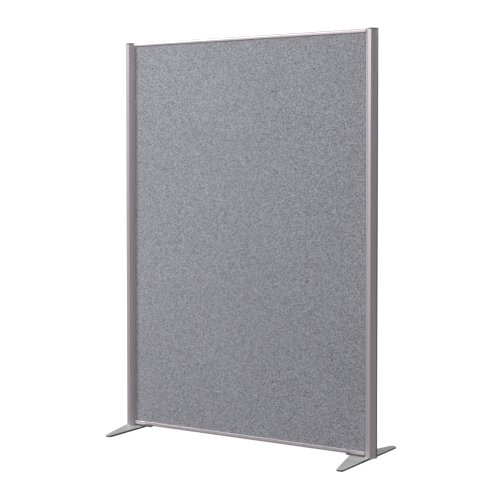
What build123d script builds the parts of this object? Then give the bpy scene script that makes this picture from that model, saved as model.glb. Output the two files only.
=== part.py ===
"""Free-standing partition wall: a fabric-covered panel between two extruded aluminium posts on flat steel feet.

Frame of reference: X along the panel's width, Y its depth (the front is -Y), Z up.
The origin lies on the floor, under the middle of the panel. All sizes are in millimetres.
"""
from build123d import *
import os

os.makedirs("parts", exist_ok=True)

# Overall sizes
WIDTH = 1200.0  # over the outer faces of both posts
HEIGHT = 1650.0  # floor to the top of the post caps

# Posts: one octagonal extrusion, used at both ends
POST_SIZE = 46.0  # across the four narrow flats
POST_CHAMFER = 17.0  # leg of each wide 45-degree facet
POST_EDGE = 1.2  # radius where two outer faces meet
POST_TONGUE = 14.0  # width of the tongue that meets the panel
POST_STEP = 6.0  # depth of the step on each side of the tongue
POST_WALL = 2.0
SLOT_WIDTH = 8.4  # slot down the outer flat, which links a second panel
SLOT_DEPTH = 10.0
CAP_HEIGHT = 5.0
CAP_EDGE = 1.0  # chamfer round the cap's upper edge
CAP_SPIGOT = 18.0
PLUG_HEIGHT = 32.0
PLUG_FIT = 0.3  # gap between a plug or spigot and the post's hollow
COVER_FIT = 0.15  # gap between a slot cover and the slot's sides
COVER_CLEAR = 1.0  # gap between a slot cover and the screw heads behind it
COVER_WALL = 1.2

# Feet: one blade, fitted the same way round at both ends
BLADE_LENGTH = 460.0
BLADE_WIDTH = 86.0
BLADE_THICKNESS = 8.0
BLADE_TIP = 26.0
BLADE_MIDDLE = 30.0  # length at the full width
BLADE_CORNER = 9.0  # radius at the tips
BLADE_SHOULDER = 6.0  # radius where the taper meets the full width
BLADE_EDGE = 1.5  # radius round the upper face
BLADE_HOLE_NEAR = 10.0  # from the straight edge to the nearer hole
POST_BOLT_OFFSET = 12.0  # from the post's centre, towards the panel

# Rail rests: blocks that carry the bottom rail beside each post
REST_LENGTH = 84.0
REST_WIDTH = 18.0
REST_HEIGHT = 5.5
REST_GAP = 1.0  # to the post
REST_SCREW_END = 16.0  # from the rest's rounded end to its own screw

# Rails: half-rounded extrusions over the panel's upper and lower edges
RAIL_WALL = 2.7  # thickness of each leg
TOP_RAIL_HEIGHT = 13.5
BOTTOM_RAIL_HEIGHT = 16.0
RAIL_ROUND = 7.0
RAIL_LIP = 0.8  # radius at the outer corner of each leg's end
RAIL_POCKET = 8.0  # depth that the panel's edge goes in
RAIL_GRIP = 0.2  # gap between a rail's leg and the fabric
RAIL_CROWN_DROP = 1.0  # from the cap's top down to the top rail's crown
RAIL_END_GAP = 0.3

# Panel: a timber frame, infill boards, two skins and stretched fabric
FRAME_THICKNESS = 10.0
FRAME_BAR = 40.0
SKIN_THICKNESS = 2.0
FABRIC_THICKNESS = 0.6
FABRIC_FOLD = 0.9  # inner radius where the fabric turns over a skin's edges
PANEL_GAP = 0.5  # between the panel's edge and the post
INFILL_GAP = 0.5
DOWEL_RADIUS = 3.0
DOWEL_LENGTH = 50.0
DOWEL_SHIFT = 10.0  # from an outer bar's middle line, towards the panel's middle
DOWEL_FIT = 0.1

# Fasteners
BOLT_RADIUS = 3.0
BOLT_HEAD_RADIUS = 6.0
BOLT_LENGTH = 28.0
SCREW_RADIUS = 2.5
SCREW_HEAD_RADIUS = 5.0
SCREW_CLEAR = 2.0  # from the foot's screws up to the lowest dowels
PANEL_SCREW_CLEAR = 0.4  # gap between a screw's head and the slot's sides
PANEL_SCREW_HEAD_HEIGHT = 3.0
PANEL_SCREW_BITE = 30.0
PANEL_SCREW_COUNT = 4  # even, so that none meets the middle dowel
PANEL_SCREW_END = 150.0  # from the panel's ends to the first screw
HOLE_FIT = 0.2  # radial gap round a shank in a clearance hole
THREAD_FIT = 0.05
COUNTERSINK_ANGLE = 90.0
HEAD_SINK = 0.2  # the heads lie this much below the blade's underside

# Places that follow from the sizes above
POST_X = WIDTH / 2 - POST_SIZE / 2
POST_INNER_X = WIDTH / 2 - POST_SIZE
POST_BOTTOM = BLADE_THICKNESS
POST_TOP = HEIGHT - CAP_HEIGHT
SLOT_FLOOR_X = WIDTH / 2 - SLOT_DEPTH
PANEL_SCREW_HEAD_RADIUS = SLOT_WIDTH / 2 - PANEL_SCREW_CLEAR
COVER_DEPTH = SLOT_DEPTH - PANEL_SCREW_HEAD_HEIGHT - COVER_CLEAR
BOLT_X = POST_X - POST_BOLT_OFFSET
LEFT_EDGE_X = BLADE_WIDTH - WIDTH / 2  # the left blade's widest point is flush with its post
BLADE_HOLE_SPAN = LEFT_EDGE_X - BLADE_HOLE_NEAR + BOLT_X
RAIL_SCREW_X = BOLT_X - BLADE_HOLE_SPAN
RIGHT_EDGE_X = BOLT_X + BLADE_HOLE_NEAR

REST_OUTER_X = POST_INNER_X - REST_GAP
REST_INNER_X = REST_OUTER_X - REST_LENGTH
REST_SCREW_X = REST_INNER_X + REST_SCREW_END

BOTTOM_RAIL_Z = BLADE_THICKNESS + REST_HEIGHT
BOTTOM_RAIL_LIP = BOTTOM_RAIL_Z + BOTTOM_RAIL_HEIGHT
TOP_RAIL_Z = HEIGHT - RAIL_CROWN_DROP
TOP_RAIL_LIP = TOP_RAIL_Z - TOP_RAIL_HEIGHT
PANEL_BOTTOM = BOTTOM_RAIL_LIP - RAIL_POCKET
PANEL_TOP = TOP_RAIL_LIP + RAIL_POCKET
PANEL_HEIGHT = PANEL_TOP - PANEL_BOTTOM
PANEL_MIDDLE = (PANEL_TOP + PANEL_BOTTOM) / 2
PANEL_HALF = POST_INNER_X - PANEL_GAP
STILE_INNER_X = PANEL_HALF - FRAME_BAR
SKIN_Y = FRAME_THICKNESS / 2 + SKIN_THICKNESS
FABRIC_Y = SKIN_Y + FABRIC_THICKNESS
RAIL_LEG_Y = FABRIC_Y + RAIL_GRIP
RAIL_WIDTH = 2 * (RAIL_LEG_Y + RAIL_WALL)
BAR_HEIGHTS = (PANEL_BOTTOM + FRAME_BAR / 2, PANEL_MIDDLE, PANEL_TOP - FRAME_BAR / 2)
DOWEL_HEIGHTS = (BAR_HEIGHTS[0] + DOWEL_SHIFT, PANEL_MIDDLE, BAR_HEIGHTS[2] - DOWEL_SHIFT)
SCREW_END_Z = DOWEL_HEIGHTS[0] - DOWEL_RADIUS - SCREW_CLEAR
SCREW_BITE = SCREW_END_Z - PANEL_BOTTOM
INFILL_HEIGHT = (PANEL_HEIGHT - 3 * FRAME_BAR) / 2

SIDES = {"left": -1, "right": 1}


def panel_screw_heights():
    """Heights of the screws that hold the panel to each post."""
    first = PANEL_BOTTOM + PANEL_SCREW_END
    step = (PANEL_HEIGHT - 2 * PANEL_SCREW_END) / (PANEL_SCREW_COUNT - 1)
    return [first + step * index for index in range(PANEL_SCREW_COUNT)]


def save(piece, name):
    """Label one finished piece and write its STEP file."""
    piece.label = name
    export_step(piece, f"parts/{name}.step")


def octagon(inset=0.0):
    """Post outline: a square with wide 45-degree corners, shrunk by inset or else with soft edges."""
    half = POST_SIZE / 2
    flat = half - POST_CHAMFER
    corner = [(flat, half), (half, flat), (half, -flat), (flat, -half)]
    outline = corner + [(-x, -y) for x, y in corner]
    with BuildSketch(mode=Mode.PRIVATE) as shape:
        with BuildLine():
            Polyline(*outline, close=True)
        make_face()
        if inset:
            offset(amount=-inset, kind=Kind.INTERSECTION, mode=Mode.REPLACE)
        else:
            fillet(shape.vertices(), POST_EDGE)
    return shape.sketch


def post_outline(side, inset=0.0):
    """Octagon with a step on each side of the tongue that meets the panel, shrunk by inset."""
    tongue = POST_TONGUE - 2 * inset
    reach = POST_STEP + inset
    step_width = (POST_SIZE - tongue) / 2
    step_x = side * (reach - POST_SIZE) / 2
    step_y = (tongue + step_width) / 2
    with BuildSketch(mode=Mode.PRIVATE) as shape:
        add(octagon(inset))
        with Locations((step_x, step_y), (step_x, -step_y)):
            Rectangle(reach, step_width, mode=Mode.SUBTRACT)
    return shape.sketch


def hollow(side, gap=0.0):
    """Inside of the post, which the slot's walls narrow on its outer side."""
    slot_half = SLOT_WIDTH / 2 + POST_WALL + gap
    slot_reach = SLOT_DEPTH + POST_WALL + gap
    with BuildSketch(mode=Mode.PRIVATE) as shape:
        add(post_outline(side, POST_WALL + gap))
        with Locations((side * (POST_SIZE / 2 - slot_reach / 2), 0)):
            Rectangle(slot_reach, 2 * slot_half, mode=Mode.SUBTRACT)
    return shape.sketch


def build_post(name, side):
    """Extruded post with its slot, and the holes for the panel's screws."""
    with BuildPart() as post:
        with BuildSketch(Plane((side * POST_X, 0, POST_BOTTOM))):
            add(post_outline(side))
            add(hollow(side), mode=Mode.SUBTRACT)
            with Locations((side * (POST_SIZE - SLOT_DEPTH) / 2, 0)):
                Rectangle(SLOT_DEPTH, SLOT_WIDTH, mode=Mode.SUBTRACT)
        extrude(amount=POST_TOP - POST_BOTTOM)
        for height in panel_screw_heights():
            with Locations(Plane((side * POST_INNER_X, 0, height), z_dir=(side, 0, 0))):
                Cylinder(
                    SCREW_RADIUS + HOLE_FIT,
                    POST_SIZE,
                    align=(Align.CENTER, Align.CENTER, Align.MIN),
                    mode=Mode.SUBTRACT,
                )
    save(post.part, name)


def build_cap(name, side):
    """Moulded cap with a softened edge, and a hollow spigot that grips inside the post."""
    with BuildPart() as cap:
        with BuildSketch(Plane((side * POST_X, 0, POST_TOP))):
            add(octagon())
        extrude(amount=CAP_HEIGHT)
        chamfer(cap.faces().sort_by(Axis.Z)[-1].edges(), CAP_EDGE)
        with BuildSketch(Plane((side * POST_X, 0, POST_TOP))):
            add(hollow(side, PLUG_FIT))
            add(hollow(side, PLUG_FIT + POST_WALL), mode=Mode.SUBTRACT)
        extrude(amount=-CAP_SPIGOT)
    save(cap.part, name)


def build_plug(name, side):
    """Solid plug in the foot of the post, with the threaded hole for the foot's bolt."""
    with BuildPart() as plug:
        with BuildSketch(Plane((side * POST_X, 0, POST_BOTTOM))):
            add(hollow(side, PLUG_FIT))
            with Locations((-side * POST_BOLT_OFFSET, 0)):
                Circle(BOLT_RADIUS + THREAD_FIT, mode=Mode.SUBTRACT)
        extrude(amount=PLUG_HEIGHT)
    save(plug.part, name)


def build_slot_cover(name, side):
    """Snap-in strip that closes the outer slot, flush with the post."""
    width = SLOT_WIDTH - 2 * COVER_FIT
    with BuildPart() as cover:
        with BuildSketch(Plane((side * WIDTH / 2, 0, POST_BOTTOM))):
            with Locations((-side * COVER_DEPTH / 2, 0)):
                Rectangle(COVER_DEPTH, width)
            with Locations((-side * (COVER_DEPTH + COVER_WALL) / 2, 0)):
                Rectangle(COVER_DEPTH - COVER_WALL, width - 2 * COVER_WALL, mode=Mode.SUBTRACT)
        extrude(amount=POST_TOP - POST_BOTTOM)
    save(cover.part, name)


def build_blade(name, edge_x):
    """Flat steel foot: one straight edge, and one that tapers to both tips."""
    half = BLADE_LENGTH / 2
    middle = BLADE_MIDDLE / 2
    with BuildPart() as blade:
        with BuildSketch(Plane((edge_x, 0, 0))):
            with BuildLine():
                Polyline(
                    (0, -half),
                    (0, half),
                    (-BLADE_TIP, half),
                    (-BLADE_WIDTH, middle),
                    (-BLADE_WIDTH, -middle),
                    (-BLADE_TIP, -half),
                    close=True,
                )
            make_face()
        extrude(amount=BLADE_THICKNESS)
        upright = blade.edges().filter_by(Axis.Z)
        fillet(upright.group_by(Axis.Y)[0] + upright.group_by(Axis.Y)[-1], BLADE_CORNER)
        fillet(blade.edges().filter_by(Axis.Z).group_by(Axis.X)[0], BLADE_SHOULDER)
        fillet(blade.faces().sort_by(Axis.Z)[-1].edges(), BLADE_EDGE)
        near = -BLADE_HOLE_NEAR
        far = near - BLADE_HOLE_SPAN
        bolt_hole, screw_hole = (near, far) if edge_x > 0 else (far, near)
        underside = Plane((edge_x, 0, HEAD_SINK), x_dir=(1, 0, 0), z_dir=(0, 0, -1))
        with Locations(underside * Pos(bolt_hole, 0, 0)):
            CounterSinkHole(
                BOLT_RADIUS + HOLE_FIT,
                BOLT_HEAD_RADIUS + HOLE_FIT,
                counter_sink_angle=COUNTERSINK_ANGLE,
            )
        with Locations(underside * Pos(screw_hole, 0, 0)):
            CounterSinkHole(
                SCREW_RADIUS + HOLE_FIT,
                SCREW_HEAD_RADIUS + HOLE_FIT,
                counter_sink_angle=COUNTERSINK_ANGLE,
            )
    save(blade.part, name)


def build_rest(name, side):
    """Block under the bottom rail, with a rounded inner end and two screw holes."""
    with BuildPart() as rest:
        with BuildSketch(Plane.XY.offset(BLADE_THICKNESS)):
            with Locations((side * (REST_OUTER_X + REST_INNER_X) / 2, 0)):
                Rectangle(REST_LENGTH, REST_WIDTH)
        extrude(amount=REST_HEIGHT)
        inner = rest.edges().filter_by(Axis.Z).group_by(Axis.X)[0 if side > 0 else -1]
        fillet(inner, REST_WIDTH / 2 - HOLE_FIT)
        with Locations((side * RAIL_SCREW_X, 0, BLADE_THICKNESS)):
            Cylinder(
                SCREW_RADIUS + HOLE_FIT,
                REST_HEIGHT,
                align=(Align.CENTER, Align.CENTER, Align.MIN),
                mode=Mode.SUBTRACT,
            )
        head_level = BLADE_THICKNESS + HEAD_SINK
        with Locations(Plane((side * REST_SCREW_X, 0, head_level), z_dir=(0, 0, -1))):
            CounterSinkHole(
                SCREW_RADIUS + HOLE_FIT,
                SCREW_HEAD_RADIUS + HOLE_FIT,
                counter_sink_angle=COUNTERSINK_ANGLE,
            )
    save(rest.part, name)


def rail_profile(height):
    """Section of a rail in its own plane: its crown is up, and its legs point down from zero."""
    with BuildSketch(mode=Mode.PRIVATE) as shape:
        with Locations((0, height / 2)):
            Rectangle(RAIL_WIDTH, height)
        fillet(shape.vertices().group_by(Axis.Y)[-1], RAIL_ROUND)
        fillet(shape.vertices().group_by(Axis.Y)[0], RAIL_LIP)
        with Locations((0, RAIL_POCKET / 2)):
            Rectangle(2 * RAIL_LEG_Y, RAIL_POCKET, mode=Mode.SUBTRACT)
    return shape.sketch


def build_top_rail():
    """Rail over the panel's upper edge."""
    length = 2 * (POST_INNER_X - RAIL_END_GAP)
    section = Plane((-length / 2, 0, TOP_RAIL_LIP), x_dir=(0, 1, 0), z_dir=(1, 0, 0))
    with BuildPart() as rail:
        with BuildSketch(section):
            add(rail_profile(TOP_RAIL_HEIGHT))
        extrude(amount=length)
    save(rail.part, "top_rail")


def build_bottom_rail():
    """Rail under the panel's lower edge, drilled for the foot's screws."""
    length = 2 * (POST_INNER_X - RAIL_END_GAP)
    section = Plane((length / 2, 0, BOTTOM_RAIL_LIP), x_dir=(0, 1, 0), z_dir=(-1, 0, 0))
    with BuildPart() as rail:
        with BuildSketch(section):
            add(rail_profile(BOTTOM_RAIL_HEIGHT))
        extrude(amount=length)
        for x in (-RAIL_SCREW_X, -REST_SCREW_X, REST_SCREW_X, RAIL_SCREW_X):
            with Locations((x, 0, BOTTOM_RAIL_Z)):
                Cylinder(
                    SCREW_RADIUS + HOLE_FIT,
                    BOTTOM_RAIL_HEIGHT,
                    align=(Align.CENTER, Align.CENTER, Align.MIN),
                    mode=Mode.SUBTRACT,
                )
    save(rail.part, "bottom_rail")


def dowel_places():
    """Centres of the dowels, one across each joint of a bar with a stile."""
    return [(side * STILE_INNER_X, height) for side in SIDES.values() for height in DOWEL_HEIGHTS]


def drill_dowels():
    """Cut the dowel holes in the timber piece being built."""
    for x, height in dowel_places():
        with Locations(Plane((x, 0, height), z_dir=(1, 0, 0))):
            Cylinder(DOWEL_RADIUS + DOWEL_FIT, DOWEL_LENGTH, mode=Mode.SUBTRACT)


def build_stile(name, side):
    """Upright of the timber frame, drilled for the dowels, the post's screws and the foot's screw."""
    with BuildPart() as stile:
        with Locations((side * (PANEL_HALF - FRAME_BAR / 2), 0, PANEL_MIDDLE)):
            Box(FRAME_BAR, FRAME_THICKNESS, PANEL_HEIGHT)
        drill_dowels()
        for height in panel_screw_heights():
            with Locations(Plane((side * PANEL_HALF, 0, height), z_dir=(-side, 0, 0))):
                Cylinder(
                    SCREW_RADIUS + THREAD_FIT,
                    PANEL_SCREW_BITE,
                    align=(Align.CENTER, Align.CENTER, Align.MIN),
                    mode=Mode.SUBTRACT,
                )
        with Locations((side * RAIL_SCREW_X, 0, PANEL_BOTTOM)):
            Cylinder(
                SCREW_RADIUS + THREAD_FIT,
                SCREW_BITE,
                align=(Align.CENTER, Align.CENTER, Align.MIN),
                mode=Mode.SUBTRACT,
            )
    save(stile.part, name)


def build_bar(name, height):
    """Cross member of the timber frame; the lowest one takes the foot's screws."""
    with BuildPart() as bar:
        with Locations((0, 0, height)):
            Box(2 * STILE_INNER_X, FRAME_THICKNESS, FRAME_BAR)
        drill_dowels()
        if height == BAR_HEIGHTS[0]:
            for x in (-REST_SCREW_X, REST_SCREW_X):
                with Locations((x, 0, PANEL_BOTTOM)):
                    Cylinder(
                        SCREW_RADIUS + THREAD_FIT,
                        SCREW_BITE,
                        align=(Align.CENTER, Align.CENTER, Align.MIN),
                        mode=Mode.SUBTRACT,
                    )
    save(bar.part, name)


def build_infill(name, height):
    """Light board that fills the timber frame between two cross members."""
    with BuildPart() as infill:
        with Locations((0, 0, height)):
            Box(
                2 * (STILE_INNER_X - INFILL_GAP),
                FRAME_THICKNESS,
                INFILL_HEIGHT - 2 * INFILL_GAP,
            )
    save(infill.part, name)


def skin_block(side, cover=0.0):
    """Board on one face of the panel, with soft outer edges, grown by the thickness of a cover."""
    inset = FABRIC_THICKNESS - cover
    thickness = SKIN_THICKNESS + cover
    with BuildPart(mode=Mode.PRIVATE) as block:
        with Locations((0, side * (FRAME_THICKNESS + thickness) / 2, PANEL_MIDDLE)):
            Box(2 * (PANEL_HALF - inset), thickness, PANEL_HEIGHT - 2 * inset)
        faces = block.faces().sort_by(Axis.Y)
        outer = faces[-1] if side > 0 else faces[0]
        upright = block.edges().filter_by(Axis.Y)
        fillet(outer.edges() + upright, FABRIC_FOLD + cover)
    return block.part


def build_skin(name, side):
    """Board on one face of the panel."""
    with BuildPart() as skin:
        add(skin_block(side))
    save(skin.part, name)


def build_fabric(name, side):
    """Fabric cover over one skin, turned over its four edges."""
    with BuildPart() as fabric:
        add(skin_block(side, FABRIC_THICKNESS))
        add(skin_block(side), mode=Mode.SUBTRACT)
    save(fabric.part, name)


def build_countersunk(name, places, shank_radius, head_radius, head_z, end_z):
    """Countersunk screws that point up from head_z to end_z, one at each place along X."""
    head_depth = head_radius - shank_radius
    length = end_z - head_z
    with BuildPart() as screws:
        with BuildSketch(Plane.XZ) as section:
            with BuildLine():
                Polyline(
                    (0, 0),
                    (head_radius, 0),
                    (shank_radius, head_depth),
                    (shank_radius, length - shank_radius),
                    (0, length),
                    close=True,
                )
            make_face()
        with Locations(*[(x, 0, head_z) for x in places]):
            add(revolve(section.sketch, axis=Axis.Z, mode=Mode.PRIVATE))
        with BuildSketch(Plane.XY.offset(head_z)):
            with Locations(*[(x, 0) for x in places]):
                RegularPolygon(shank_radius, 6)
        extrude(amount=head_depth, mode=Mode.SUBTRACT)
    save(screws.part, name)


def build_panel_screws():
    """Long screws from the slot's floor, through the post and into the stile."""
    head_x = SLOT_FLOOR_X
    tip_x = PANEL_HALF - PANEL_SCREW_BITE
    with BuildPart() as screws:
        for side in SIDES.values():
            for height in panel_screw_heights():
                outward = Plane((side * head_x, 0, height), z_dir=(side, 0, 0))
                with BuildSketch(outward):
                    Circle(PANEL_SCREW_HEAD_RADIUS)
                extrude(amount=PANEL_SCREW_HEAD_HEIGHT)
                with BuildSketch(outward.offset(PANEL_SCREW_HEAD_HEIGHT)):
                    RegularPolygon(SCREW_RADIUS, 6)
                extrude(amount=-PANEL_SCREW_HEAD_HEIGHT / 2, mode=Mode.SUBTRACT)
                with BuildSketch(outward):
                    Circle(SCREW_RADIUS)
                extrude(amount=tip_x - head_x)
    save(screws.part, "panel_screws")


def build_dowels():
    """Glued dowels that tie the cross members to the stiles."""
    with BuildPart() as dowels:
        for x, height in dowel_places():
            with Locations(Plane((x, 0, height), z_dir=(1, 0, 0))):
                Cylinder(DOWEL_RADIUS, DOWEL_LENGTH)
    save(dowels.part, "frame_dowels")


for side_name, direction in SIDES.items():
    build_post(f"{side_name}_post", direction)
    build_cap(f"{side_name}_post_cap", direction)
    build_plug(f"{side_name}_post_plug", direction)
    build_slot_cover(f"{side_name}_slot_cover", direction)
    build_rest(f"{side_name}_rail_rest", direction)
    build_stile(f"{side_name}_stile", direction)

build_blade("left_foot_blade", LEFT_EDGE_X)
build_blade("right_foot_blade", RIGHT_EDGE_X)
build_top_rail()
build_bottom_rail()

for bar_name, bar_height in zip(("bottom_bar", "middle_bar", "top_bar"), BAR_HEIGHTS):
    build_bar(bar_name, bar_height)

INFILL_SHIFT = (FRAME_BAR + INFILL_HEIGHT) / 2
build_infill("upper_infill", PANEL_MIDDLE + INFILL_SHIFT)
build_infill("lower_infill", PANEL_MIDDLE - INFILL_SHIFT)
for face_name, facing in (("front", -1), ("back", 1)):
    build_skin(f"{face_name}_skin", facing)
    build_fabric(f"{face_name}_fabric", facing)

BOLT_PLACES = [side * BOLT_X for side in SIDES.values()]
RAIL_SCREW_PLACES = [side * RAIL_SCREW_X for side in SIDES.values()]
REST_SCREW_PLACES = [side * REST_SCREW_X for side in SIDES.values()]
build_countersunk(
    "post_bolts", BOLT_PLACES, BOLT_RADIUS, BOLT_HEAD_RADIUS, HEAD_SINK, HEAD_SINK + BOLT_LENGTH
)
build_countersunk(
    "blade_screws", RAIL_SCREW_PLACES, SCREW_RADIUS, SCREW_HEAD_RADIUS, HEAD_SINK, SCREW_END_Z
)
build_countersunk(
    "rest_screws",
    REST_SCREW_PLACES,
    SCREW_RADIUS,
    SCREW_HEAD_RADIUS,
    BLADE_THICKNESS + HEAD_SINK,
    SCREW_END_Z,
)
build_panel_screws()
build_dowels()
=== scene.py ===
"""Looks of a free-standing partition wall: fabric screen, two aluminium posts, flat steel feet.

Everything is in metres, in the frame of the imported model: X along the screen, -Y its front, +Z up.
"""
import bpy
import bmesh
import math
from mathutils import Matrix, Vector


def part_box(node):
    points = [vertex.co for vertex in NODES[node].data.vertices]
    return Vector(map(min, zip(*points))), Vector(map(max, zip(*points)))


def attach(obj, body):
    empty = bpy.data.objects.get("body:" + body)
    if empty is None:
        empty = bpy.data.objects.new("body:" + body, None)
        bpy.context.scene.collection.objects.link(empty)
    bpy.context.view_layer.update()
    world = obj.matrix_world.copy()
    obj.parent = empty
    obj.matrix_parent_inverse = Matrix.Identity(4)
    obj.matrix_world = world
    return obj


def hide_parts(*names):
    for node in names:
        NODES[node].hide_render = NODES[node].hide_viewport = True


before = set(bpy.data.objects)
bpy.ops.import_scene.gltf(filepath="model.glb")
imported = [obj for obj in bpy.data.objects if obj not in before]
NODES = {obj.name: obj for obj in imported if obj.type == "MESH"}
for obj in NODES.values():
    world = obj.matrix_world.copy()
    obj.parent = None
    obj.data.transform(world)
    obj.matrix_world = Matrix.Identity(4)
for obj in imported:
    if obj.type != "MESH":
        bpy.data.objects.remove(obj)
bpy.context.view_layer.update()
MM = 0.001


# ---------------------------------------------------------------- shader helpers

# Sockets of a Mix node that mixes colours.
MIX_FACTOR, MIX_FIRST, MIX_SECOND, MIX_RESULT = 0, 6, 7, 2


class Socket:
    """A node's output, so that shader maths reads as an expression."""

    def __init__(self, shader, output):
        self.shader = shader
        self.output = output

    def math(self, operation, *others):
        values = dict(enumerate((self.output, *others)))
        return self.shader.node("ShaderNodeMath", {"operation": operation}, values)

    def __add__(self, other):
        return self.math("ADD", other)

    def __radd__(self, other):
        return self.math("ADD", other)

    def __sub__(self, other):
        return self.math("SUBTRACT", other)

    def __rsub__(self, other):
        return self.math("MULTIPLY", -1.0).math("ADD", other)

    def __mul__(self, other):
        return self.math("MULTIPLY", other)

    def __rmul__(self, other):
        return self.math("MULTIPLY", other)

    def sine(self):
        return self.math("SINE")

    def smooth(self, low, high):
        """0 below low, 1 above high, with a soft step between them."""
        settings = {"interpolation_type": "SMOOTHSTEP"}
        values = {"Value": self.output, "From Min": low, "From Max": high}
        return self.shader.node("ShaderNodeMapRange", settings, values, "Result")

    def sibling(self, name):
        """Another output of the same node."""
        return Socket(self.shader, self.output.node.outputs[name])


class NodeTree:
    """A node tree that is built up one node at a time."""

    def __init__(self, tree):
        self.tree = tree

    def node(self, kind, settings=None, values=None, output=0):
        """Adds a node: its settings first, then the numbers or links of its sockets."""
        made = self.tree.nodes.new(kind)
        for key, value in (settings or {}).items():
            setattr(made, key, value)
        for key, value in (values or {}).items():
            self.feed(made.inputs[key], value)
        return Socket(self, made.outputs[output]) if made.outputs else None

    def feed(self, socket, value):
        """Links a node's output to a socket, or sets the socket to a number or colour."""
        if isinstance(value, Socket):
            value = value.output
        if isinstance(value, bpy.types.NodeSocket):
            self.tree.links.new(value, socket)
        else:
            socket.default_value = value

    def place(self, output="Object"):
        """Where a point is: on the piece's axes, in its UV map, or as a direction in the sky."""
        return self.node("ShaderNodeTexCoord", output=output)

    def stretched(self, scale):
        """Object coordinates, scaled differently along each axis."""
        return self.node("ShaderNodeMapping", None, {"Vector": self.place(), "Scale": scale})

    def noise(self, vector, scale, detail=2.0, roughness=0.5, output="Fac"):
        values = {"Vector": vector, "Scale": scale, "Detail": detail, "Roughness": roughness}
        return self.node("ShaderNodeTexNoise", None, values, output)

    def mix(self, factor, first, second):
        """Colour mix, from first to second as the factor goes from 0 to 1."""
        values = {MIX_FACTOR: factor, MIX_FIRST: first, MIX_SECOND: second}
        return self.node("ShaderNodeMix", {"data_type": "RGBA"}, values, MIX_RESULT)

    def bump(self, height, distance, strength):
        """Normal of a surface that rises by distance, in metres, as height goes from 0 to 1."""
        values = {"Height": height, "Distance": distance, "Strength": strength}
        return self.node("ShaderNodeBump", None, values, "Normal")


class Shader(NodeTree):
    """One material, with its Principled shader ready."""

    def __init__(self, name, **constants):
        self.material = bpy.data.materials.new(name)
        self.material.use_nodes = True
        super().__init__(self.material.node_tree)
        self.principled = self.tree.nodes["Principled BSDF"]
        self.drive(**constants)
        self.material.diffuse_color = constants["Base_Color"]

    def drive(self, **values):
        """Feeds the Principled shader's sockets, named with _ for a space."""
        for socket, value in values.items():
            self.feed(self.principled.inputs[socket.replace("_", " ")], value)
        return self.material


PLAIN = (1.0, 1.0, 1.0)
WARM = (1.0, 0.965, 0.95)
COOL = (0.985, 0.985, 1.0)
ROSE = (1.0, 0.92, 0.955)
LILAC = (1.0, 0.935, 0.985)


def grey(level, tint=PLAIN):
    """A linear colour of one brightness, lightly tinted."""
    return tuple(level * share for share in tint) + (1.0,)


def edge_mask(shader, radius):
    """1 along outer edges, 0 on flats: how far a rounded normal turns from the true one."""
    rounded = shader.node("ShaderNodeBevel", {"samples": 4}, {"Radius": radius})
    true = shader.node("ShaderNodeNewGeometry", output="Normal")
    turned = shader.node(
        "ShaderNodeVectorMath", {"operation": "DOT_PRODUCT"}, {0: rounded, 1: true}, "Value"
    )
    return (1 - turned).smooth(low=0.02, high=0.16)


# ---------------------------------------------------------------- finishes

STREAK_SHARE = 0.12  # frequency of an extrusion's broad streaks, as a share of its fine lines'


def drawn_aluminium(name, across, tone):
    """Satin anodised extrusion.

    across scales the grain along each axis: fine over the section, long down the length.
    """
    shader = Shader(name, Base_Color=grey(tone), Metallic=1.0, Roughness=0.4)
    lines = shader.noise(shader.stretched(across), scale=1.0, detail=3.0, roughness=0.6)
    clouds = shader.noise(shader.place(), scale=3.5)
    broad = shader.stretched([size * STREAK_SHARE for size in across])
    streaks = shader.noise(broad, scale=1.0, detail=1.0)
    dark, light = grey(tone * 0.93, ROSE), grey(tone * 1.05, LILAC)
    clouded, rubbed = grey(tone * 0.9, ROSE), grey(tone * 1.25, LILAC)
    cloud_share = clouds.smooth(low=0.35, high=0.7) * 0.25
    rub_share = edge_mask(shader, radius=0.9 * MM) * 0.35
    colour = shader.mix(lines.smooth(low=0.25, high=0.75), dark, light)
    colour = shader.mix(cloud_share, colour, clouded)
    colour = shader.mix(rub_share, colour, rubbed)
    rough = 0.36 + lines * 0.08 + clouds * 0.05 + streaks * 0.05
    height = lines * 0.7 + streaks * 0.3
    normal = shader.bump(height, distance=0.02 * MM, strength=0.6)
    return shader.drive(Base_Color=colour, Roughness=rough, Normal=normal)


def moulded_plastic(name, tone, rough):
    """Grained plastic moulding with a faint shine and slightly rubbed edges."""
    shader = Shader(name, Base_Color=grey(tone), Roughness=rough)
    grain = shader.noise(shader.place(), scale=1900.0, roughness=0.55)
    patches = shader.noise(shader.place(), scale=26.0, detail=3.0, roughness=0.6)
    dark, light = grey(tone * 0.88), grey(tone * 1.12)
    patched, rubbed = grey(tone * 1.25), grey(tone * 1.6 + 0.03)
    patch_share = patches.smooth(low=0.45, high=0.75) * 0.3
    rub_share = edge_mask(shader, radius=0.8 * MM) * 0.4
    colour = shader.mix(grain.smooth(low=0.3, high=0.7), dark, light)
    colour = shader.mix(patch_share, colour, patched)
    colour = shader.mix(rub_share, colour, rubbed)
    rough_all_over = (rough - 0.06) + grain * 0.08 + patches * 0.08
    normal = shader.bump(grain, distance=0.06 * MM, strength=0.5)
    return shader.drive(Base_Color=colour, Roughness=rough_all_over, Normal=normal)


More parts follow.
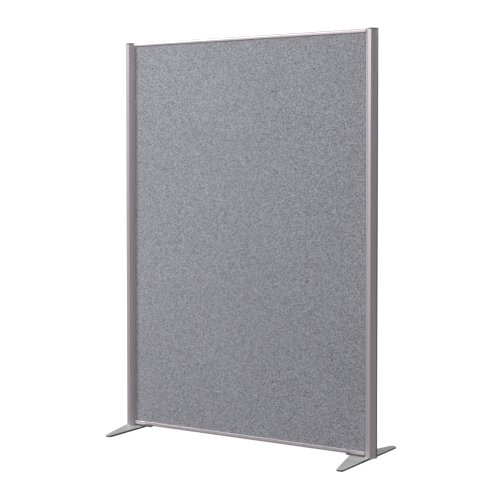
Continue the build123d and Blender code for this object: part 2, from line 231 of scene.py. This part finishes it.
def extruded_plastic(name, tone):
    """Smooth dark strip with faint die lines down its length, and a little dust."""
    shader = Shader(name, Base_Color=grey(tone), Roughness=0.35, IOR=1.5)
    lines = shader.noise(shader.stretched((2200, 2200, 3)), scale=1.0)
    specks = shader.noise(shader.place(), scale=90.0, detail=4.0, roughness=0.7)
    dust = specks.smooth(low=0.58, high=0.75)
    dark, light, dusty = grey(tone * 0.85), grey(tone * 1.15), grey(tone * 2.2)
    colour = shader.mix(lines.smooth(low=0.3, high=0.7), dark, light)
    colour = shader.mix(dust * 0.15, colour, dusty)
    rough = 0.3 + lines * 0.08 + dust * 0.12
    normal = shader.bump(lines, distance=0.01 * MM, strength=0.4)
    return shader.drive(Base_Color=colour, Roughness=rough, Normal=normal)


SIDE_SHADE_START = 0.8 * MM  # depth below the plate's upper face where the painted shade on the sides starts
SIDE_SHADE_FULL = 2.4 * MM  # depth where the painted shade on the sides is at its darkest


def coated_steel(name, tone, top):
    """Silver-grey powder coat with flake.

    Its sides and underside darken to near black: painted shade, for the shadow on the plate's edges.
    top is the height of the plate's upper face.
    """
    shader = Shader(name, Base_Color=grey(tone), Metallic=0.35, Roughness=0.45)
    peel = shader.noise(shader.place(), scale=420.0)
    flakes = {"Vector": shader.place(), "Scale": 3200.0}
    flake = shader.node("ShaderNodeTexVoronoi", None, flakes, "Color")
    flake_tone = shader.node("ShaderNodeSeparateColor", None, {0: flake})
    clouds = shader.noise(shader.place(), scale=9.0, detail=3.0, roughness=0.55)
    rubs = shader.noise(shader.stretched((60, 16, 60)), scale=3.0, detail=5.0, roughness=0.7)
    scuffs = rubs.smooth(low=0.6, high=0.78)
    height = shader.node("ShaderNodeSeparateXYZ", None, {0: shader.place()}, "Z")
    # Painted shade: below the upper face, the colour goes to near black down the sides and
    # underside.
    painted_side_shade = 1 - height.smooth(low=top - SIDE_SHADE_FULL, high=top - SIDE_SHADE_START)
    chips = shader.noise(shader.place(), scale=70.0, detail=3.0, roughness=0.6)
    wear = edge_mask(shader, radius=1.2 * MM) * chips.smooth(low=0.35, high=0.65)
    dark, light = grey(tone * 0.93, WARM), grey(tone * 1.07, COOL)
    clouded, scuffed, worn = grey(tone * 0.88, WARM), grey(tone * 0.75), grey(tone * 1.3)
    painted_shade_grey = grey(0.03)
    colour = shader.mix(flake_tone, dark, light)
    colour = shader.mix(clouds.smooth(low=0.35, high=0.7) * 0.3, colour, clouded)
    colour = shader.mix(scuffs * 0.25, colour, scuffed)
    colour = shader.mix(wear * 0.3, colour, worn)
    colour = shader.mix(painted_side_shade * 0.85, colour, painted_shade_grey)
    rough = 0.38 + peel * 0.08 + scuffs * 0.12 - wear * 0.08
    normal = shader.bump(peel, distance=0.12 * MM, strength=0.5)
    return shader.drive(Base_Color=colour, Roughness=rough, Normal=normal)


YARN = 0.0013  # pitch of the cloth's yarns
SLUB = 0.0019  # size of the cloth's thicker knots
YARN_DRIFT = YARN * 1.1  # how far the yarns wander from straight
FABRIC_DARK = (0.07, 0.07, 0.079, 1)
FABRIC_LIGHT = (0.63, 0.635, 0.7, 1)
FABRIC_WARM = (0.36, 0.345, 0.36, 1)
FABRIC_MEAN = (0.33, 0.33, 0.365, 1)


def crepe_fabric(name):
    """Grey crepe screen cloth. The piece's UV map gives metres of cloth across and up."""
    shader = Shader(
        name,
        Base_Color=FABRIC_MEAN,
        Roughness=0.92,
        Specular_IOR_Level=0.25,
        Sheen_Weight=0.25,
        Sheen_Roughness=0.5,
    )
    cloth = shader.place("UV")
    wander = shader.noise(cloth, scale=330.0, roughness=0.6, output="Color")
    drift = shader.node(
        "ShaderNodeVectorMath",
        {"operation": "MULTIPLY_ADD"},
        {0: wander, 1: (YARN_DRIFT,) * 3, 2: cloth},
        "Vector",
    )
    across = shader.node("ShaderNodeSeparateXYZ", None, {0: drift}, "X")
    along = across.sibling("Y")
    turns = 2 * math.pi / YARN
    warp = (across * turns).sine() * 0.5 + 0.5
    weft = (along * turns).sine() * 0.5 + 0.5
    checks = (across * (turns / 2)).sine() * (along * (turns / 2)).sine()
    over = checks.smooth(low=-0.4, high=0.4)
    yarns = warp * over + weft * (1 - over)
    knots = {"Vector": drift, "Scale": 1 / SLUB, "Randomness": 1.0}
    slub = shader.node("ShaderNodeTexVoronoi", {"voronoi_dimensions": "2D"}, knots, "Color")
    rise = 1 - slub.sibling("Distance").smooth(low=0.1, high=0.75)
    slub_tone = shader.node("ShaderNodeSeparateColor", None, {0: slub}, "Red")
    warmth = slub_tone.sibling("Green")
    twist = shader.noise(cloth, scale=1500.0, detail=1.0)
    shade = shader.noise(cloth, scale=2.2)
    # Painted shade: the gaps between the yarns are darkened.
    yarn_gap_painted_shade = (1 - yarns.smooth(low=0.1, high=0.8)) * 0.3
    shade_share = shade.smooth(low=0.3, high=0.7) * 0.06
    colour = shader.mix(slub_tone, FABRIC_DARK, FABRIC_LIGHT)
    colour = shader.mix(warmth * 0.2, colour, FABRIC_WARM)
    colour = shader.mix(yarn_gap_painted_shade, colour, FABRIC_DARK)
    colour = shader.mix(shade_share, colour, FABRIC_DARK)
    height = yarns * 0.5 + rise * 0.7 + twist * 0.15
    normal = shader.bump(height, distance=0.6 * MM, strength=0.8)
    return shader.drive(Base_Color=colour, Roughness=0.86 + yarns * 0.1, Normal=normal)


# How finely growth rings and pores are drawn, across the grain and along it.
RING_SCALE = 60.0
RING_SCALE_ALONG = 2.5
PORE_SCALE = 900.0
PORE_SCALE_ALONG = 25.0


def sawn_timber(name, along, dark, light, scale=1.0):
    """Planed wood. along is the grain's direction, 0 for X and 2 for Z."""
    shader = Shader(name, Base_Color=light, Roughness=0.6)
    ring_scale = [RING_SCALE * scale] * 3
    ring_scale[along] = RING_SCALE_ALONG * scale
    pore_scale = [PORE_SCALE] * 3
    pore_scale[along] = PORE_SCALE_ALONG
    rings = shader.node(
        "ShaderNodeTexWave",
        {"wave_type": "RINGS", "rings_direction": "XYZ"[along], "wave_profile": "SAW"},
        {
            "Vector": shader.stretched(ring_scale),
            "Scale": 0.5,
            "Distortion": 6.0,
            "Detail": 3.0,
            "Detail Scale": 0.7,
        },
        "Fac",
    )
    pores = shader.noise(shader.stretched(pore_scale), scale=1.0, roughness=0.6)
    pore_share = pores.smooth(low=0.55, high=0.75) * 0.35
    colour = shader.mix(rings, light, dark)
    colour = shader.mix(pore_share, colour, dark)
    height = pores * 0.6 + rings * 0.4
    normal = shader.bump(height, distance=0.1 * MM, strength=0.5)
    return shader.drive(Base_Color=colour, Roughness=0.55 + pores * 0.15, Normal=normal)


def hardboard(name):
    """Pressed fibre board, brown and faintly mottled."""
    dark, light = (0.13, 0.075, 0.04, 1), (0.27, 0.17, 0.1, 1)
    mean, mottled = (0.2, 0.12, 0.07, 1), (0.2, 0.13, 0.08, 1)
    shader = Shader(name, Base_Color=mean, Roughness=0.55)
    fibres = shader.noise(shader.stretched((700, 700, 260)), scale=1.0, detail=4.0, roughness=0.7)
    mottle = shader.noise(shader.place(), scale=24.0, detail=4.0, roughness=0.6)
    mottle_share = mottle.smooth(low=0.4, high=0.7) * 0.4
    colour = shader.mix(fibres.smooth(low=0.3, high=0.75), dark, light)
    colour = shader.mix(mottle_share, colour, mottled)
    normal = shader.bump(fibres, distance=0.15 * MM, strength=0.6)
    return shader.drive(Base_Color=colour, Roughness=0.48 + fibres * 0.18, Normal=normal)


def honeycomb_board(name):
    """Kraft paper faces over a honeycomb, whose cells print through faintly."""
    dark, light = (0.33, 0.21, 0.12, 1), (0.5, 0.35, 0.21, 1)
    mean, printed = (0.42, 0.28, 0.16, 1), (0.28, 0.18, 0.1, 1)
    shader = Shader(name, Base_Color=mean, Roughness=0.8)
    flat = shader.stretched((1.0, 0.0, 1.0))
    cells = shader.node(
        "ShaderNodeTexVoronoi",
        {"feature": "DISTANCE_TO_EDGE"},
        {"Vector": flat, "Scale": 62.0, "Randomness": 0.25},
        "Distance",
    )
    walls = 1 - cells.smooth(low=0.02, high=0.12)
    fibres = shader.noise(shader.stretched((900, 900, 200)), scale=1.0, detail=3.0, roughness=0.65)
    colour = shader.mix(fibres, dark, light)
    colour = shader.mix(walls * 0.3, colour, printed)
    height = walls * 0.6 + fibres * 0.3
    normal = shader.bump(height, distance=0.3 * MM, strength=0.5)
    return shader.drive(Base_Color=colour, Roughness=0.72 + fibres * 0.15, Normal=normal)


def sand_casting(name):
    """Plain aluminium casting with a pitted skin."""
    dark, light, mean, stained = grey(0.28), grey(0.45), grey(0.36), grey(0.22, WARM)
    shader = Shader(name, Base_Color=mean, Metallic=1.0, Roughness=0.55)
    skin = shader.noise(shader.place(), scale=650.0, detail=4.0, roughness=0.65)
    stain = shader.noise(shader.place(), scale=60.0, detail=3.0, roughness=0.6)
    stain_share = stain.smooth(low=0.5, high=0.75) * 0.4
    colour = shader.mix(skin.smooth(low=0.3, high=0.7), dark, light)
    colour = shader.mix(stain_share, colour, stained)
    normal = shader.bump(skin, distance=0.2 * MM, strength=0.7)
    return shader.drive(Base_Color=colour, Roughness=0.48 + skin * 0.2, Normal=normal)


def zinc_plate(name):
    """Bright zinc on small steel parts, with a faint yellow and blue bloom."""
    yellow, blue = (0.52, 0.5, 0.42, 1), (0.44, 0.48, 0.54, 1)
    shader = Shader(name, Base_Color=grey(0.5), Metallic=1.0, Roughness=0.3)
    bloom = shader.noise(shader.place(), scale=260.0, detail=3.0, roughness=0.6)
    marks = shader.noise(shader.place(), scale=1400.0, roughness=0.6)
    colour = shader.mix(bloom.smooth(low=0.35, high=0.65), yellow, blue)
    normal = shader.bump(marks, distance=0.03 * MM, strength=0.5)
    return shader.drive(Base_Color=colour, Roughness=0.24 + marks * 0.14, Normal=normal)


GRAIN_UPRIGHT = (900, 900, 2.5)
GRAIN_LEVEL = (2.5, 900, 900)
ALONG_X, ALONG_Z = 0, 2
PINE = (0.42, 0.25, 0.11, 1), (0.66, 0.47, 0.26, 1)
BEECH = (0.45, 0.27, 0.15, 1), (0.6, 0.4, 0.24, 1)

POST_METAL = drawn_aluminium("post_aluminium", GRAIN_UPRIGHT, tone=0.68)
# The rails are the same aluminium as the posts: the top rail's darker tone is painted shade, and the
# bottom rail's lighter tone is painted light.
TOP_RAIL_METAL_PAINTED_SHADE = drawn_aluminium("top_rail_aluminium_painted_shade", GRAIN_LEVEL, tone=0.6)
BOTTOM_RAIL_METAL_PAINTED_LIGHT = drawn_aluminium("bottom_rail_aluminium_painted_light", GRAIN_LEVEL, tone=0.8)
CAP_PLASTIC = moulded_plastic("cap_plastic", tone=0.16, rough=0.36)
REST_PLASTIC = moulded_plastic("rest_plastic", tone=0.13, rough=0.42)
COVER_PLASTIC = extruded_plastic("cover_plastic", tone=0.1)
FOOT_STEEL = coated_steel("foot_coat", tone=0.5, top=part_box("left_foot_blade")[1].z)
SCREEN_CLOTH = crepe_fabric("screen_cloth")
STILE_TIMBER = sawn_timber("stile_timber", ALONG_Z, *PINE)
BAR_TIMBER = sawn_timber("bar_timber", ALONG_X, *PINE)
DOWEL_TIMBER = sawn_timber("dowel_beech", ALONG_X, *BEECH, scale=3.0)
SKIN_BOARD = hardboard("skin_board")
INFILL_BOARD = honeycomb_board("infill_board")
PLUG_METAL = sand_casting("plug_casting")
SCREW_METAL = zinc_plate("screw_zinc")

NODE_FINISH = {
    "left_post": POST_METAL,
    "right_post": POST_METAL,
    "top_rail": TOP_RAIL_METAL_PAINTED_SHADE,
    "bottom_rail": BOTTOM_RAIL_METAL_PAINTED_LIGHT,
    "left_post_cap": CAP_PLASTIC,
    "right_post_cap": CAP_PLASTIC,
    "left_rail_rest": REST_PLASTIC,
    "right_rail_rest": REST_PLASTIC,
    "left_slot_cover": COVER_PLASTIC,
    "right_slot_cover": COVER_PLASTIC,
    "left_foot_blade": FOOT_STEEL,
    "right_foot_blade": FOOT_STEEL,
    "left_stile": STILE_TIMBER,
    "right_stile": STILE_TIMBER,
    "bottom_bar": BAR_TIMBER,
    "middle_bar": BAR_TIMBER,
    "top_bar": BAR_TIMBER,
    "frame_dowels": DOWEL_TIMBER,
    "front_skin": SKIN_BOARD,
    "back_skin": SKIN_BOARD,
    "upper_infill": INFILL_BOARD,
    "lower_infill": INFILL_BOARD,
    "left_post_plug": PLUG_METAL,
    "right_post_plug": PLUG_METAL,
    "post_bolts": SCREW_METAL,
    "blade_screws": SCREW_METAL,
    "rest_screws": SCREW_METAL,
    "panel_screws": SCREW_METAL,
}

for node_name, finish in NODE_FINISH.items():
    slots = NODES[node_name].data.materials
    slots.clear()
    slots.append(finish)


# ---------------------------------------------------------------- pieces


def add_object(name, data):
    """An object at the origin, in the scene."""
    made = bpy.data.objects.new(name, data)
    bpy.context.scene.collection.objects.link(made)
    return made


def add_mesh(name, mesh, finish):
    """A finished bmesh becomes an object of one material."""
    data = bpy.data.meshes.new(name)
    mesh.to_mesh(data)
    mesh.free()
    data.materials.append(finish)
    return add_object(name, data)


def add_piece(name, mesh, finish, slot_name, *stands_for):
    """A finished bmesh becomes a piece on the screen's one body, in place of the CAD nodes."""
    piece = add_mesh(name, mesh, finish)
    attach(piece, "root")
    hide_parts(*stands_for)
    return piece


FOLD_RADIUS = 1.5 * MM  # outside radius where the cloth turns over a board's edge
CLOTH = 0.6 * MM  # the CAD cloth's thickness
CLOTH_WALL = CLOTH * 0.95  # the piece's own, so that it stays just clear of the board
SAME_PLANE = CLOTH / 10


def lay_out_cloth(mesh, low, high, face_y):
    """Writes the UV map: metres of cloth across and up, run on over the turned edges."""
    uv = mesh.loops.layers.uv.new("cloth")
    for face in mesh.faces:
        for loop in face.loops:
            x, y, z = loop.vert.co
            turned = abs(y - face_y)
            on_side = x < low.x + FOLD_RADIUS or x > high.x - FOLD_RADIUS
            on_end = z < low.z + FOLD_RADIUS or z > high.z - FOLD_RADIUS
            across = x + math.copysign(turned, x) * on_side
            up = z + math.copysign(turned, z - (low.z + high.z) / 2) * on_end
            loop[uv].uv = (across, up)


def screen_cover(name, node):
    """Stretched cloth over one board: a shallow tray with soft outer edges, open at the back."""
    low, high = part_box(node)
    front = low.y < 0
    face_y, open_y = (low.y, high.y) if front else (high.y, low.y)
    mesh = bmesh.new()
    size = high - low
    place = Matrix.Translation((low + high) / 2) @ Matrix.Diagonal((*size, 1))
    bmesh.ops.create_cube(mesh, size=1.0, matrix=place)
    middles = {face: face.calc_center_median() for face in mesh.faces}
    back = [face for face, middle in middles.items() if abs(middle.y - open_y) < SAME_PLANE]
    bmesh.ops.delete(mesh, geom=back, context="FACES_ONLY")
    soft = [edge for edge in mesh.edges if not edge.is_boundary]
    bmesh.ops.bevel(
        mesh,
        geom=soft,
        offset=FOLD_RADIUS,
        segments=4,
        profile=0.5,
        affect="EDGES",
        material=-1,
    )
    for face in mesh.faces:
        face.smooth = True
    lay_out_cloth(mesh, low, high, face_y)
    piece = add_piece(name, mesh, SCREEN_CLOTH, "screen_fabric", node)
    walls = piece.modifiers.new("cloth thickness", "SOLIDIFY")
    walls.thickness = CLOTH_WALL
    walls.offset = -1.0


screen_cover("front_screen_cloth", "front_fabric")
screen_cover("back_screen_cloth", "back_fabric")


# ---------------------------------------------------------------- studio

FLOOR_SIZE = 60.0
SKY_TOWARDS = (-0.64, -0.42, 0.64)  # where the sky is lightest: left of the screen, in front, up
SKY_DARK = 0.22
SKY_LIGHT = 0.5


def studio_floor():
    """Plain pale floor."""
    mesh = bmesh.new()
    bmesh.ops.create_grid(mesh, x_segments=1, y_segments=1, size=FLOOR_SIZE / 2)
    shader = Shader("floor_paint", Base_Color=grey(0.2), Roughness=0.9)
    seen = shader.node("ShaderNodeLightPath", output="Is Camera Ray")
    glow = seen * 0.92
    paint = shader.drive(Emission_Color=grey(1.0), Emission_Strength=glow)
    floor = add_mesh("studio_floor", mesh, paint)


def studio_world():
    """White to the camera; a soft gradient, lighter up and to the left, for everything else."""
    world = bpy.data.worlds.new("studio")
    bpy.context.scene.world = world
    world.use_nodes = True
    world.node_tree.nodes.clear()
    sky = NodeTree(world.node_tree)
    towards = {0: sky.place("Generated"), 1: SKY_TOWARDS}
    aim = sky.node("ShaderNodeVectorMath", {"operation": "DOT_PRODUCT"}, towards, "Value")
    level = sky.mix(aim.smooth(low=-1.0, high=1.0), grey(SKY_DARK), grey(SKY_LIGHT))
    dim = sky.node("ShaderNodeBackground", None, {"Color": level})
    white = sky.node("ShaderNodeBackground", None, {"Color": grey(1.0), "Strength": 1.1})
    seen = sky.node("ShaderNodeLightPath", output="Is Camera Ray")
    both = sky.node("ShaderNodeMixShader", None, {0: seen, 1: dim, 2: white})
    sky.node("ShaderNodeOutputWorld", None, {"Surface": both})


def soft_box(name, position, target, side, power):
    """Square softbox, aimed at a point and hidden from the camera. power is in watts."""
    data = bpy.data.lights.new(name, "AREA")
    data.shape = "RECTANGLE"
    data.size = side
    data.size_y = side
    data.energy = power
    light = add_object(name, data)
    light.location = position
    aim = Vector(target) - Vector(position)
    light.rotation_euler = aim.to_track_quat("-Z", "Y").to_euler()
    light.visible_camera = False


studio_floor()
studio_world()
soft_box("key_box", position=(-12.3, -5.6, 9.7), target=(0.0, 0.0, 1.1), side=2.0, power=2600.0)
soft_box("front_box", position=(0.3, -4.4, 3.0), target=(0.1, 0.0, 1.2), side=1.6, power=58.0)
soft_box("back_box", position=(1.9, 3.6, 3.2), target=(0.0, 0.0, 0.9), side=1.6, power=90.0)


# ---------------------------------------------------------------- camera

CAMERA_PLACE = (2.7393, -4.2740, 1.1368)
CAMERA_TILT = math.radians(88.096)  # from straight down, so a little under level
CAMERA_TURN = math.radians(32.4)  # round to the right of the screen's front

camera_data = bpy.data.cameras.new("camera")
camera_data.sensor_width = 36.0
camera_data.lens = 90.1
camera_data.shift_y = -0.09
camera_data.clip_end = 200.0
camera = add_object("camera", camera_data)
camera.location = CAMERA_PLACE
camera.rotation_euler = (CAMERA_TILT, 0.0, CAMERA_TURN)
bpy.context.scene.camera = camera

view = bpy.context.scene.view_settings
view.view_transform = "Standard"
view.look = "None"
